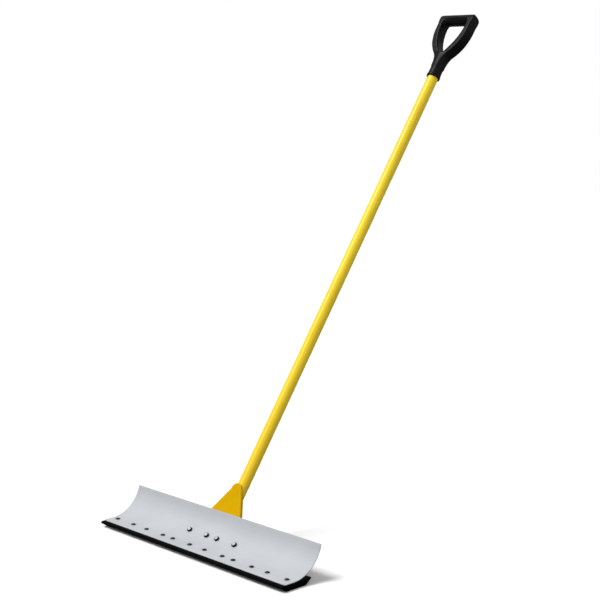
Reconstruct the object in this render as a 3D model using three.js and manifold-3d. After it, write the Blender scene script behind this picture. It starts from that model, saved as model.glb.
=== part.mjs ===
// Push-type snow shovel: a rolled sheet-metal blade on a bevelled plastic wear strip, with a
// folded bracket, a straight tube handle and a moulded D-grip.
//
// Millimetres. +Z is up and the floor is Z = 0. X runs along the blade and the handle leans
// towards +Y. The origin is the centre of the wear strip's flat underside.

import * as THREE from 'three';
import { mergeVertices } from 'three/addons/utils/BufferGeometryUtils.js';
import Module from 'manifold-3d';

const wasm = await Module();
wasm.setup();

// ---------------------------------------------------------------- driving dimensions

const GAP = 0.3; // clearance between pieces that bear on each other

const BLADE_WIDTH = 610;
const SHEET = 1.6; // blade sheet thickness
const LIP_FLAT = 25; // flat run behind the front edge
const ROLL_RADIUS = 82; // inside radius of the rolled part
const ROLL_ANGLE = 76; // degrees that the roll turns through
const LIP_SETBACK = 10; // the blade's front edge stands behind the strip's front edge
const LIP_CORNER = 6; // corner radius at the ends of the front edge

const STRIP_WIDTH = 610;
const STRIP_DEPTH = 86; // front to back, measured on the top face
const STRIP_THICK = 14;
const STRIP_BEVEL = 16; // run of the bevel under the front and the back edge

const HANDLE_ANGLE = 55; // degrees between the handle and the floor
const HANDLE_FOOT_Y = 41.2; // where the handle's axis meets the floor
const TUBE_RADIUS = 13.5;
const TUBE_WALL = 1.5;
const TUBE_START = 82; // distances along the handle's axis, from the floor
const TUBE_END = 1300;
const TUBE_SIDES = 32;

const PLATE = 3; // bracket sheet thickness
const BRACKET_TOP = 154.2;
const BRACKET_TOP_HALF = 12.8; // half width at BRACKET_TAPER_FROM
const BRACKET_TAPER_FROM = 148;
const BRACKET_TAPER = 0.55; // growth of the half width for each millimetre down the handle
const BRACKET_BASE_HALF = 88;
const BRACKET_CORNER = 7;
const BRACKET_FOOT_ARC = 24; // the plate ends at this angle of the roll
const FLANGE_DEPTH = 9; // folded edge, outside to outside
const FLANGE_TOP = 143;
const FLANGE_FADE_FROM = 50; // roll angles between which the folded edge fades out
const FLANGE_FADE_TO = 38;

const BOLT_ARC = 32; // roll angle of the bracket bolts
const BOLT_PLACES = [-75, -17, 17, 75];
const BOLT_RADIUS = 3.175;
const BOLT_HEX = 11.1; // across flats, head and nut
const BOLT_HEAD = 4.3;
const BOLT_HOLE_RADIUS = 3.5;
const BOLT_TIP = 1.5; // thread standing past the nut
const WASHER_RADIUS = 8;
const WASHER_THICK = 1.2;
const NUT_THICK = 5.5;

const SCREW_SETBACK = 25; // strip screws behind the blade's front edge
const SCREW_PLACES = [25, 83.5, 118.5, 177.5, 226, 285]; // mirrored about the middle
const SCREW_HEAD_RADIUS = 5.5;
const SCREW_HEAD = 2.8;
const SCREW_RADIUS = 2.1;
const SCREW_LENGTH = 10; // inside the strip
const SCREW_HOLE_RADIUS = 2.45;

const SOCKET_RADIUS = 16;
const SOCKET_START = 1262;
const SOCKET_RIM = 17.3;
const SOCKET_RIM_LENGTH = 6;
const FORK_START = 1300;
const GRIP_DEPTH = 30; // front to back of the two arms
const GRIP_HALF = 52; // outer half width across the arms
const ARM_THICK = 14;
const OPENING_BOTTOM = 1331;
const CROSSBAR_AT = 1433;
const CROSSBAR_RADIUS = 14;
const GRIP_SCREW_AT = 1285;

// ---------------------------------------------------------------- helpers

const radians = THREE.MathUtils.degToRad;

function toSolid(geometry) {
  const bare = geometry.clone();
  bare.deleteAttribute('normal');
  bare.deleteAttribute('uv');
  const merged = mergeVertices(bare, 1e-4);
  return new wasm.Manifold(new wasm.Mesh({
    numProp: 3,
    vertProperties: new Float32Array(merged.attributes.position.array),
    triVerts: new Uint32Array(merged.index.array),
  }));
}

function toGeometry(solid) {
  const mesh = solid.getMesh();
  const geometry = new THREE.BufferGeometry();
  geometry.setAttribute('position', new THREE.BufferAttribute(mesh.vertProperties, 3));
  geometry.setIndex(new THREE.BufferAttribute(mesh.triVerts, 1));
  geometry.computeVertexNormals();
  return geometry;
}

function paint(colour, roughness, metalness) {
  return () => new THREE.MeshStandardMaterial({ color: colour, roughness, metalness });
}

const bladeSheet = paint(0xcfd1d6, 0.35, 0.6);
const blackPoly = paint(0x0c0c0e, 0.55, 0);
const yellowTube = paint(0xe3c51c, 0.3, 0);
const yellowBracket = paint(0xd8aa00, 0.4, 0);
const zinc = paint(0x8e9196, 0.35, 0.9);
const blackGrip = paint(0x1a1a1c, 0.45, 0);

function piece(name, geometry, material) {
  const mesh = new THREE.Mesh(geometry, material());
  mesh.name = name;
  return mesh;
}

// A (y, z) outline extruded along X, centred on X = 0.
function acrossBlade(outline, width) {
  const geometry = new THREE.ExtrudeGeometry(outline, { depth: width, bevelEnabled: false, steps: 1 });
  geometry.translate(0, 0, -width / 2);
  geometry.applyMatrix4(new THREE.Matrix4().set(0, 0, 1, 0, 1, 0, 0, 0, 0, 1, 0, 0, 0, 0, 0, 1));
  return geometry;
}

// A round solid about +Z from (radius, height) pairs, which start and end on the axis or
// close on themselves.
function turned(pairs, sides) {
  const points = pairs.map(([radius, height]) => new THREE.Vector2(radius, height));
  return new THREE.LatheGeometry(points, sides).rotateX(Math.PI / 2);
}

function rod(radius, from, to, sides) {
  return turned([[0, from], [radius, from], [radius, to], [0, to]], sides);
}

function hexagon(acrossFlats, from, to) {
  const radius = acrossFlats / 2 / Math.cos(Math.PI / 6);
  return rod(radius, from, to, 6);
}

// ---------------------------------------------------------------- frames

// Handle frame: X as above, +Z along the handle, +Y square to it on its rear side.
const handleTurn = radians(HANDLE_ANGLE - 90);
const handleFrame = new THREE.Matrix4()
  .makeTranslation(0, HANDLE_FOOT_Y, 0)
  .multiply(new THREE.Matrix4().makeRotationX(handleTurn));

// An (x, z) outline of the handle frame, extruded square to that plane from y = -half to half.
function acrossHandle(outline, half) {
  const geometry = new THREE.ExtrudeGeometry(outline, { depth: 2 * half, bevelEnabled: false, steps: 1 });
  return geometry.translate(0, 0, -half).rotateX(Math.PI / 2);
}

// Centre of the blade's roll, in the (y, z) plane.
const lipY = LIP_SETBACK - STRIP_DEPTH / 2;
const lipTop = STRIP_THICK + GAP + SHEET;
const rollY = lipY + LIP_FLAT;
const rollZ = lipTop + ROLL_RADIUS;

function onRoll(radius, degrees) {
  const angle = radians(degrees);
  return new THREE.Vector2(rollY + radius * Math.sin(angle), rollZ - radius * Math.cos(angle));
}

// A point of the (y, z) plane from handle coordinates: how far along the handle's axis, and
// how far in front of it.
function onHandle(along, inFront) {
  const point = new THREE.Vector3(0, -inFront, along).applyMatrix4(handleFrame);
  return new THREE.Vector2(point.y, point.z);
}

// ---------------------------------------------------------------- blade and wear strip

function bladeOutline() {
  const steps = 26;
  const inner = [new THREE.Vector2(lipY, lipTop)];
  const outer = [new THREE.Vector2(lipY, lipTop - SHEET)];
  for (let i = 0; i <= steps; i += 1) {
    const degrees = ROLL_ANGLE * i / steps;
    inner.push(onRoll(ROLL_RADIUS, degrees));
    outer.push(onRoll(ROLL_RADIUS + SHEET, degrees));
  }
  return new THREE.Shape([...outer, ...inner.reverse()]);
}

// What is left outside a rounded corner at the end of the blade's front edge.
function lipCornerCut(side) {
  const cut = new THREE.Shape();
  const reach = 5;
  cut.moveTo(-reach, -reach);
  cut.lineTo(LIP_CORNER, -reach);
  cut.lineTo(LIP_CORNER, 0);
  cut.absarc(LIP_CORNER, LIP_CORNER, LIP_CORNER, -Math.PI / 2, -Math.PI, true);
  cut.lineTo(-reach, LIP_CORNER);
  cut.closePath();
  const tall = 10;
  const geometry = new THREE.ExtrudeGeometry(cut, { depth: tall, bevelEnabled: false, curveSegments: 6 });
  geometry.translate(-BLADE_WIDTH / 2, lipY, lipTop - tall / 2);
  const solid = toSolid(geometry);
  return side < 0 ? solid : solid.mirror([1, 0, 0]);
}

function boltTool(place, radius) {
  const seat = onRoll(ROLL_RADIUS, BOLT_ARC);
  const geometry = rod(radius, -10, 10, 16);
  return toSolid(geometry.rotateX(radians(BOLT_ARC)).translate(place, seat.x, seat.y));
}

const screwPlaces = [...SCREW_PLACES.map((x) => -x).reverse(), ...SCREW_PLACES];
const screwY = lipY + SCREW_SETBACK;

function screwTool(place, from, to) {
  return toSolid(rod(SCREW_HOLE_RADIUS, from, to, 12).translate(place, screwY, 0));
}

function blade() {
  let solid = toSolid(acrossBlade(bladeOutline(), BLADE_WIDTH));
  for (const side of [-1, 1]) solid = solid.subtract(lipCornerCut(side));
  for (const place of BOLT_PLACES) solid = solid.subtract(boltTool(place, BOLT_HOLE_RADIUS));
  for (const place of screwPlaces) solid = solid.subtract(screwTool(place, STRIP_THICK, lipTop + 5));
  return piece('blade', toGeometry(solid), bladeSheet);
}

function wearStrip() {
  const half = STRIP_DEPTH / 2;
  const outline = new THREE.Shape([
    new THREE.Vector2(STRIP_BEVEL - half, 0),
    new THREE.Vector2(half - STRIP_BEVEL, 0),
    new THREE.Vector2(half, STRIP_THICK - 1.5),
    new THREE.Vector2(half, STRIP_THICK),
    new THREE.Vector2(-half, STRIP_THICK),
    new THREE.Vector2(-half, STRIP_THICK - 1.5),
  ]);
  const holeBottom = STRIP_THICK - SCREW_LENGTH - 1;
  let solid = toSolid(acrossBlade(outline, STRIP_WIDTH));
  for (const place of screwPlaces) solid = solid.subtract(screwTool(place, holeBottom, STRIP_THICK + 5));
  return piece('wear_strip', toGeometry(solid), blackPoly);
}

// ---------------------------------------------------------------- fasteners

function stripScrew(number, place) {
  const seat = lipTop + GAP;
  const profile = [[0, STRIP_THICK - SCREW_LENGTH], [SCREW_RADIUS, STRIP_THICK - SCREW_LENGTH]];
  profile.push([SCREW_RADIUS, seat], [SCREW_HEAD_RADIUS, seat]);
  const domeSteps = 4;
  for (let i = 1; i < domeSteps; i += 1) {
    const angle = (Math.PI / 2) * i / domeSteps;
    profile.push([SCREW_HEAD_RADIUS * Math.cos(angle), seat + SCREW_HEAD * Math.sin(angle)]);
  }
  profile.push([0, seat + SCREW_HEAD]);
  const screw = piece(`strip_screw_${number}`, turned(profile, 12), zinc);
  screw.position.set(place, screwY, 0);
  return screw;
}

// The head's rim touches the hollow of the roll first, so the head stands off by this much.
const headSeat = GAP + (BOLT_HEX / 2) ** 2 / (2 * ROLL_RADIUS) + 0.1;
const washerTop = -(SHEET + GAP + PLATE + GAP);
const nutTop = washerTop - WASHER_THICK - GAP;
const boltTip = nutTop - NUT_THICK - BOLT_TIP;

// One bolt with its washer and nut, stacked along a line square to the blade.
function boltStack(number, place) {
  const head = toSolid(hexagon(BOLT_HEX, headSeat, headSeat + BOLT_HEAD));
  const shank = toSolid(rod(BOLT_RADIUS, boltTip, headSeat + BOLT_HEAD / 2, 16));
  const nutBlock = toSolid(hexagon(BOLT_HEX, nutTop - NUT_THICK, nutTop));
  const nutBore = toSolid(rod(BOLT_RADIUS + GAP, nutTop - NUT_THICK - 1, nutTop + 1, 16));
  const washerBore = BOLT_RADIUS + 0.4;
  const washerProfile = [
    [washerBore, washerTop - WASHER_THICK],
    [WASHER_RADIUS, washerTop - WASHER_THICK],
    [WASHER_RADIUS, washerTop],
    [washerBore, washerTop],
    [washerBore, washerTop - WASHER_THICK],
  ];
  const stack = new THREE.Group();
  stack.add(piece(`bracket_bolt_${number}`, toGeometry(head.add(shank)), zinc));
  stack.add(piece(`bracket_washer_${number}`, turned(washerProfile, 20), zinc));
  stack.add(piece(`bracket_nut_${number}`, toGeometry(nutBlock.subtract(nutBore)), zinc));
  const seat = onRoll(ROLL_RADIUS, BOLT_ARC);
  stack.position.set(place, seat.x, seat.y);
  stack.rotation.x = radians(BOLT_ARC);
  return stack;
}

// ---------------------------------------------------------------- bracket

const plateFront = TUBE_RADIUS + GAP + PLATE; // in front of the handle's axis
const rollCentre = new THREE.Vector3(0, rollY, rollZ).applyMatrix4(handleFrame.clone().invert());

// Side line of the bracket: straight beside the tube, then round the back of the blade.
// depth is measured backwards from the bracket's front face.
function bracketLine(top, footArc, depth) {
  const radius = ROLL_RADIUS + SHEET + GAP + depth;
  const inFront = plateFront - depth;
  const turn = THREE.MathUtils.radToDeg(Math.acos((-rollCentre.y - inFront) / radius));
  const bendArc = HANDLE_ANGLE + turn;
  const steps = 18;
  const line = [onHandle(top, inFront)];
  for (let i = 0; i <= steps; i += 1) {
    line.push(onRoll(radius, bendArc + (footArc - bendArc) * i / steps));
  }
  return line;
}

function bracketHalf(along) {
  return BRACKET_TOP_HALF + (BRACKET_TAPER_FROM - along) * BRACKET_TAPER;
}

// Front view of the bracket in the handle frame, drawn in by inset on each tapered side.
function bracketOutline(inset, top, corner) {
  const sideways = inset * Math.hypot(1, BRACKET_TAPER);
  const bottom = -40;
  const baseHalf = BRACKET_BASE_HALF - sideways;
  const shoulder = BRACKET_TAPER_FROM - (BRACKET_BASE_HALF - BRACKET_TOP_HALF) / BRACKET_TAPER;
  const topHalf = bracketHalf(top) - sideways;
  const belowTop = topHalf + corner * BRACKET_TAPER;
  const outline = new THREE.Shape();
  outline.moveTo(-baseHalf, bottom);
  outline.lineTo(baseHalf, bottom);
  outline.lineTo(baseHalf, shoulder);
  outline.lineTo(belowTop, top - corner);
  outline.quadraticCurveTo(topHalf, top, topHalf - corner, top);
  outline.lineTo(corner - topHalf, top);
  outline.quadraticCurveTo(-topHalf, top, -belowTop, top - corner);
  outline.lineTo(-baseHalf, shoulder);
  outline.closePath();
  return outline;
}

function bracketColumn(inset, top, corner) {
  return toSolid(acrossHandle(bracketOutline(inset, top, corner), 60).applyMatrix4(handleFrame));
}

function bracket() {
  const slab = 2 * BRACKET_BASE_HALF + 20;
  const front = bracketLine(BRACKET_TOP + 5, BRACKET_FOOT_ARC, 0);
  const back = bracketLine(BRACKET_TOP + 5, BRACKET_FOOT_ARC, PLATE);
  const plateSlab = toSolid(acrossBlade(new THREE.Shape([...front, ...back.reverse()]), slab));
  const plate = plateSlab.intersect(bracketColumn(0, BRACKET_TOP, BRACKET_CORNER));

  const overlap = PLATE / 2; // the folded edges start inside the plate
  const edge = bracketLine(FLANGE_TOP, FLANGE_FADE_TO, overlap);
  const rim = bracketLine(FLANGE_TOP, FLANGE_FADE_FROM, FLANGE_DEPTH);
  const rimSlab = toSolid(acrossBlade(new THREE.Shape([...edge, ...rim.reverse()]), slab));
  const ring = bracketColumn(0, BRACKET_TOP, BRACKET_CORNER).subtract(bracketColumn(PLATE, BRACKET_TOP + 1, 1));

  let solid = plate.add(rimSlab.intersect(ring));
  for (const place of BOLT_PLACES) solid = solid.subtract(boltTool(place, BOLT_HOLE_RADIUS));
  return piece('handle_bracket', toGeometry(solid), yellowBracket);
}

// Weld fillet between the tube's side and the plate's rear face.
function weldBead(name, side) {
  const from = 88;
  const to = 132;
  const innerX = 6;
  const outerX = 12;
  const plateY = -(plateFront - PLATE - GAP);
  const clearRadius = TUBE_RADIUS + GAP;
  const toeAngle = radians(46); // from the handle's front line round to the bead's lower edge
  const rootAngle = Math.asin(innerX / clearRadius);
  const outline = new THREE.Shape();
  outline.moveTo(innerX, plateY);
  outline.lineTo(outerX, plateY);
  const steps = 4;
  for (let i = 0; i <= steps; i += 1) {
    const angle = toeAngle + (rootAngle - toeAngle) * i / steps;
    outline.lineTo(clearRadius * Math.sin(angle), -clearRadius * Math.cos(angle));
  }
  outline.closePath();
  const geometry = new THREE.ExtrudeGeometry(outline, { depth: to - from, bevelEnabled: false, steps: 1 });
  geometry.translate(0, 0, from);
  const solid = toSolid(geometry);
  return piece(name, toGeometry(side > 0 ? solid : solid.mirror([1, 0, 0])), yellowBracket);
}

// ---------------------------------------------------------------- tube and grip

// Radial hole for the grip screw, on the handle's rear side.
function gripScrewTool() {
  return toSolid(rod(2.1, 5, SOCKET_RADIUS + 4, 12).rotateX(-Math.PI / 2).translate(0, 0, GRIP_SCREW_AT));
}

function handleTube() {
  const bore = TUBE_RADIUS - TUBE_WALL;
  const wall = [[bore, TUBE_START], [TUBE_RADIUS, TUBE_START], [TUBE_RADIUS, TUBE_END]];
  wall.push([bore, TUBE_END], [bore, TUBE_START]);
  const solid = toSolid(turned(wall, TUBE_SIDES)).subtract(gripScrewTool());
  return piece('handle_tube', toGeometry(solid), yellowTube);
}

function tubePlug() {
  const stem = TUBE_RADIUS - TUBE_WALL - GAP;
  const rim = TUBE_RADIUS - 0.3;
  const seat = TUBE_START - GAP;
  const profile = [[0, seat - 2.4], [rim - 1, seat - 2.4], [rim, seat - 1.4], [rim, seat]];
  profile.push([stem, seat], [stem, seat + 14], [0, seat + 14]);
  return piece('tube_end_plug', turned(profile, 24), blackPoly);
}

function gripOuterLine() {
  const line = new THREE.SplineCurve([
    new THREE.Vector2(SOCKET_RADIUS - 1, FORK_START),
    new THREE.Vector2(SOCKET_RADIUS + 3.5, FORK_START + 22),
    new THREE.Vector2(32.5, FORK_START + 40),
    new THREE.Vector2(42.5, FORK_START + 56),
    new THREE.Vector2(48, FORK_START + 73),
    new THREE.Vector2(51, FORK_START + 92),
    new THREE.Vector2(GRIP_HALF, FORK_START + 114),
    new THREE.Vector2(GRIP_HALF, CROSSBAR_AT + 4),
  ]);
  return line.getPoints(20);
}

function openingLine() {
  const half = GRIP_HALF - ARM_THICK;
  const line = new THREE.SplineCurve([
    new THREE.Vector2(0, OPENING_BOTTOM),
    new THREE.Vector2(8, OPENING_BOTTOM + 3.5),
    new THREE.Vector2(21, OPENING_BOTTOM + 22),
    new THREE.Vector2(30, OPENING_BOTTOM + 41),
    new THREE.Vector2(35.5, OPENING_BOTTOM + 61),
    new THREE.Vector2(half, OPENING_BOTTOM + 81),
    new THREE.Vector2(half, CROSSBAR_AT),
  ]);
  return line.getPoints(16);
}

function mirrored(line) {
  return line.map((point) => new THREE.Vector2(-point.x, point.y)).reverse();
}

function gripArms() {
  const top = CROSSBAR_AT + GRIP_DEPTH / 2;
  const outer = [...gripOuterLine(), new THREE.Vector2(GRIP_HALF - 7, top + 1)];
  const body = toSolid(acrossHandle(new THREE.Shape([...mirrored(outer), ...outer]), GRIP_DEPTH / 2 + 5));
  const right = [...openingLine(), new THREE.Vector2(GRIP_HALF - ARM_THICK, top + 20)];
  const left = mirrored(right).slice(0, -1);
  const opening = toSolid(acrossHandle(new THREE.Shape([...left, ...right]), GRIP_DEPTH));

  // Side view: parallel edges with a round end about the crossbar.
  const half = GRIP_DEPTH / 2;
  const side = new THREE.Shape();
  side.moveTo(-half + 1, FORK_START - 1);
  side.lineTo(half - 1, FORK_START - 1);
  side.lineTo(half, FORK_START + 20);
  side.absarc(0, CROSSBAR_AT, half, 0, Math.PI, false);
  side.lineTo(-half, FORK_START + 20);
  side.closePath();
  const sideSlab = new THREE.ExtrudeGeometry(side, { depth: 160, bevelEnabled: false, curveSegments: 14 });
  sideSlab.translate(0, 0, -80);
  sideSlab.applyMatrix4(new THREE.Matrix4().set(0, 0, 1, 0, 1, 0, 0, 0, 0, 1, 0, 0, 0, 0, 0, 1));
  return body.subtract(opening).intersect(toSolid(sideSlab));
}

function gripSocket() {
  const bore = TUBE_RADIUS + GAP;
  const boreEnd = TUBE_END + GAP;
  const profile = [[0, boreEnd], [bore, boreEnd], [bore, SOCKET_START]];
  profile.push([SOCKET_RIM, SOCKET_START], [SOCKET_RIM, SOCKET_START + SOCKET_RIM_LENGTH - 1]);
  profile.push([SOCKET_RADIUS, SOCKET_START + SOCKET_RIM_LENGTH], [SOCKET_RADIUS, FORK_START + 8]);
  profile.push([SOCKET_RADIUS - 4, FORK_START + 20], [0, FORK_START + 22]);
  return toSolid(turned(profile, TUBE_SIDES));
}

function dGrip() {
  const crossbar = rod(CROSSBAR_RADIUS, 1 - GRIP_HALF, GRIP_HALF - 1, 28).rotateY(Math.PI / 2);
  const solid = gripSocket()
    .add(gripArms())
    .add(toSolid(crossbar.translate(0, 0, CROSSBAR_AT)))
    .subtract(gripScrewTool());
  return piece('d_grip', toGeometry(solid), blackGrip);
}

function gripScrew() {
  const seat = SOCKET_RADIUS + GAP;
  const profile = [[0, 8], [1.75, 8], [1.75, seat], [4, seat], [3.4, seat + 1.6], [1.8, seat + 2.4], [0, seat + 2.6]];
  const screw = piece('grip_screw', turned(profile, 12), zinc);
  screw.rotation.x = -Math.PI / 2;
  screw.position.z = GRIP_SCREW_AT;
  return screw;
}

// ---------------------------------------------------------------- assembly

const shovel = new THREE.Group();
shovel.add(blade(), wearStrip(), bracket());
screwPlaces.forEach((place, index) => shovel.add(stripScrew(index + 1, place)));
BOLT_PLACES.forEach((place, index) => shovel.add(boltStack(index + 1, place)));

const handle = new THREE.Group();
handle.position.y = HANDLE_FOOT_Y;
handle.rotation.x = handleTurn;
handle.add(weldBead('weld_bead_left', -1), weldBead('weld_bead_right', 1));
handle.add(handleTube(), tubePlug(), dGrip(), gripScrew());
shovel.add(handle);

export default shovel;
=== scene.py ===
"""Push-type snow shovel in Blender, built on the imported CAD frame.

Shapes are in millimetres until new_piece makes a mesh; textures, light and camera are in metres.
"""

import math

import bmesh
import bpy
import numpy as np
from mathutils import Matrix, Vector
from mathutils.geometry import delaunay_2d_cdt

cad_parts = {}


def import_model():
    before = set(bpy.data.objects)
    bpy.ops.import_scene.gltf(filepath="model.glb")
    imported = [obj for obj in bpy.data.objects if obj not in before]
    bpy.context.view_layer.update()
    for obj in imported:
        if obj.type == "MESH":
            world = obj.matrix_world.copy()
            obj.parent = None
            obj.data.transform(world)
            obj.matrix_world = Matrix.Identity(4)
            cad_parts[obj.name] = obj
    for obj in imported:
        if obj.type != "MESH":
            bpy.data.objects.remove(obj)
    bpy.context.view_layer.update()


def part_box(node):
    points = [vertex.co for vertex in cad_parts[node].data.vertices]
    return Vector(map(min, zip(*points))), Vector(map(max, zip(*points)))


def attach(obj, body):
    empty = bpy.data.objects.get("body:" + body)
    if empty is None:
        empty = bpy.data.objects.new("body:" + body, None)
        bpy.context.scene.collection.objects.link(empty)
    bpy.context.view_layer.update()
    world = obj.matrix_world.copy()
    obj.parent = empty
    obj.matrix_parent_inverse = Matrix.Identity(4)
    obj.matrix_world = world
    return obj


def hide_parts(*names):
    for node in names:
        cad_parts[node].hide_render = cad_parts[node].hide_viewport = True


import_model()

MM = 0.001
ROOT = "root"


# ---------- places and sizes, from the CAD

def box_mm(node):
    low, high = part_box(node)
    return low / MM, high / MM


def middle_mm(node):
    """The middle of a node's box in plan."""
    low, high = box_mm(node)
    return (low.x + high.x) / 2, (low.y + high.y) / 2


blade_low, blade_high = box_mm("blade")
strip_high = box_mm("wear_strip")[1]

GAP = 0.3  # left between parts that touch, as in the CAD

SHEET = 1.6
LIP_FLAT = 25.0
LIP_CORNER = 6.0
ROLL_RADIUS = 82.0
ROLL_ANGLE = 76.0
LIP_Y = blade_low.y
LIP_TOP = blade_low.z + SHEET
ROLL_Y = LIP_Y + LIP_FLAT
ROLL_Z = LIP_TOP + ROLL_RADIUS
HALF_BLADE = blade_high.x
SCREW_RUN = middle_mm("strip_screw_1")[1] - LIP_Y
SCREW_HOLE, BOLT_HOLE = 2.45, 3.5  # radii
SCREWS, BOLTS = range(1, 13), range(1, 5)

HANDLE_ANGLE = math.radians(55)
HANDLE_FOOT = Vector((0, 41.2, 0))
ALONG = Vector((0, math.cos(HANDLE_ANGLE), math.sin(HANDLE_ANGLE)))
REAR = Vector((0, math.sin(HANDLE_ANGLE), -math.cos(HANDLE_ANGLE)))
TUBE_RADIUS = 13.5
TUBE_START, TUBE_END = 82.0, 1300.0

PLATE = 3.0
PLATE_FRONT = 16.8
BRACKET_RADIUS = ROLL_RADIUS + SHEET + GAP
BRACKET_TOP = 154.2
FOOT_ARC = 24.0
BOLT_ARC = 32.0
BOLT_HEX = 11.1
BOLT_RADIUS = 3.175

SOCKET_RADIUS = 16.0
SOCKET_MOUTH, SOCKET_MIDDLE = 1262.0, 1294.0
GRIP_SCREW_AT = 1285.0
FORK_START = 1293.0
GRIP_HALF = 52.0
CROSSBAR_AT = 1433.0


def on_roll(radius, degrees):
    angle = math.radians(degrees)
    return ROLL_Y + radius * math.sin(angle), ROLL_Z - radius * math.cos(angle)


def on_handle(x, rear, along):
    return Vector((x, 0, 0)) + HANDLE_FOOT + REAR * rear + ALONG * along


HANDLE_FRAME = Matrix.Translation(HANDLE_FOOT) @ Matrix.Rotation(HANDLE_ANGLE - math.pi / 2, 4, "X")


def smoothstep(low, high, value):
    t = min(1.0, max(0.0, (value - low) / (high - low)))
    return t * t * (3 - 2 * t)


# ---------- mesh helpers

def new_piece(name, points, faces, material, nodes=(), sharp=35, closed=True):
    """A smooth-shaded mesh object from points in millimetres, riding on the root body."""
    mesh = bpy.data.meshes.new(name)
    mesh.from_pydata([tuple(Vector(p) * MM) for p in points], [], faces)
    mesh.validate()
    work = bmesh.new()
    work.from_mesh(mesh)
    bmesh.ops.remove_doubles(work, verts=work.verts, dist=1e-6)
    if closed:
        bmesh.ops.recalc_face_normals(work, faces=work.faces)
    work.to_mesh(mesh)
    work.free()
    mesh.materials.append(material)
    piece = bpy.data.objects.new(name, mesh)
    bpy.context.scene.collection.objects.link(piece)
    mesh.shade_smooth()
    if sharp:
        mesh.set_sharp_from_angle(angle=math.radians(sharp))
    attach(piece, ROOT)
    if nodes:
        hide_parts(*nodes)
    return piece


def grid_faces(rows, columns, closed=False):
    """Quads of a row-major grid; closed joins the last column to the first."""
    wide = columns if closed else columns - 1
    return [
        (r * columns + c, r * columns + (c + 1) % columns,
         (r + 1) * columns + (c + 1) % columns, (r + 1) * columns + c)
        for r in range(rows - 1) for c in range(wide)
    ]


def circle(radius, height, sides):
    """Points round a circle about Z."""
    turns = (2 * math.pi * i / sides for i in range(sides))
    return [(radius * math.cos(a), radius * math.sin(a), height) for a in turns]


def turned(profile, sides):
    """Points and faces of a solid turned about Z from (radius, height) pairs."""
    points, faces, rings = [], [], []
    for radius, height in profile:
        if radius < 1e-6:
            rings.append([len(points)])
            points.append((0, 0, height))
            continue
        rings.append(list(range(len(points), len(points) + sides)))
        points += circle(radius, height, sides)
    for low, high in zip(rings, rings[1:]):
        for i in range(sides):
            j = (i + 1) % sides
            if len(low) == 1 and len(high) == 1:
                continue
            if len(low) == 1:
                faces.append((low[0], high[j], high[i]))
            elif len(high) == 1:
                faces.append((low[i], low[j], high[0]))
            else:
                faces.append((low[i], low[j], high[j], high[i]))
    return points, faces


def ring_faces(start, sides):
    """Quads from the ring of points before number start to the ring that begins there."""
    return [tuple(start - sides + k for k in f) for f in grid_faces(2, sides, closed=True)]


def close_ring(points, faces, sides, tip):
    """Join the last ring of points to a tip."""
    points.append(tip)
    last = len(points) - 1
    faces.extend((last - sides + i, last - sides + (i + 1) % sides, last) for i in range(sides))


def placed(points, matrix):
    return [matrix @ Vector(p) for p in points]


def rounded(corners, radii, steps):
    """A closed outline whose corners are rounded, each by its own radius."""
    line = []
    for i, corner in enumerate(corners):
        here = Vector(corner)
        before = Vector(corners[i - 1]) - here
        after = Vector(corners[(i + 1) % len(corners)]) - here
        angle = before.angle(after)
        reach = min(radii[i] / math.tan(angle / 2), before.length * 0.48, after.length * 0.48)
        start, end = here + before.normalized() * reach, here + after.normalized() * reach
        for k in range(steps + 1):
            t = k / steps
            line.append(start * (1 - t) ** 2 + here * 2 * t * (1 - t) + end * t ** 2)
    return line


def swept_x(outline, stations, shift):
    """An outline of (y, z) points carried along X through (x, inset) stations, with closed ends.

    shift gives what is added to a point, from its x and its (y, z).
    """
    centre = sum((Vector(p) for p in outline), Vector((0, 0))) / len(outline)
    count = len(outline)
    points = []
    for x, inset in stations:
        for i, p in enumerate(outline):
            ahead = Vector(outline[(i + 1) % count]) - Vector(outline[i - 1])
            inward = Vector((-ahead.y, ahead.x)).normalized()
            if inward.dot(centre - Vector(p)) < 0:
                inward = -inward
            q = Vector(p) + inward * inset
            q += shift(x, q)
            points.append((x, q.x, q.y))
    faces = grid_faces(len(stations), count, closed=True)
    faces.append(tuple(range(count)))
    last = (len(stations) - 1) * count
    faces.append(tuple(range(last, last + count)))
    return points, faces


# ---------- node helpers

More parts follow.
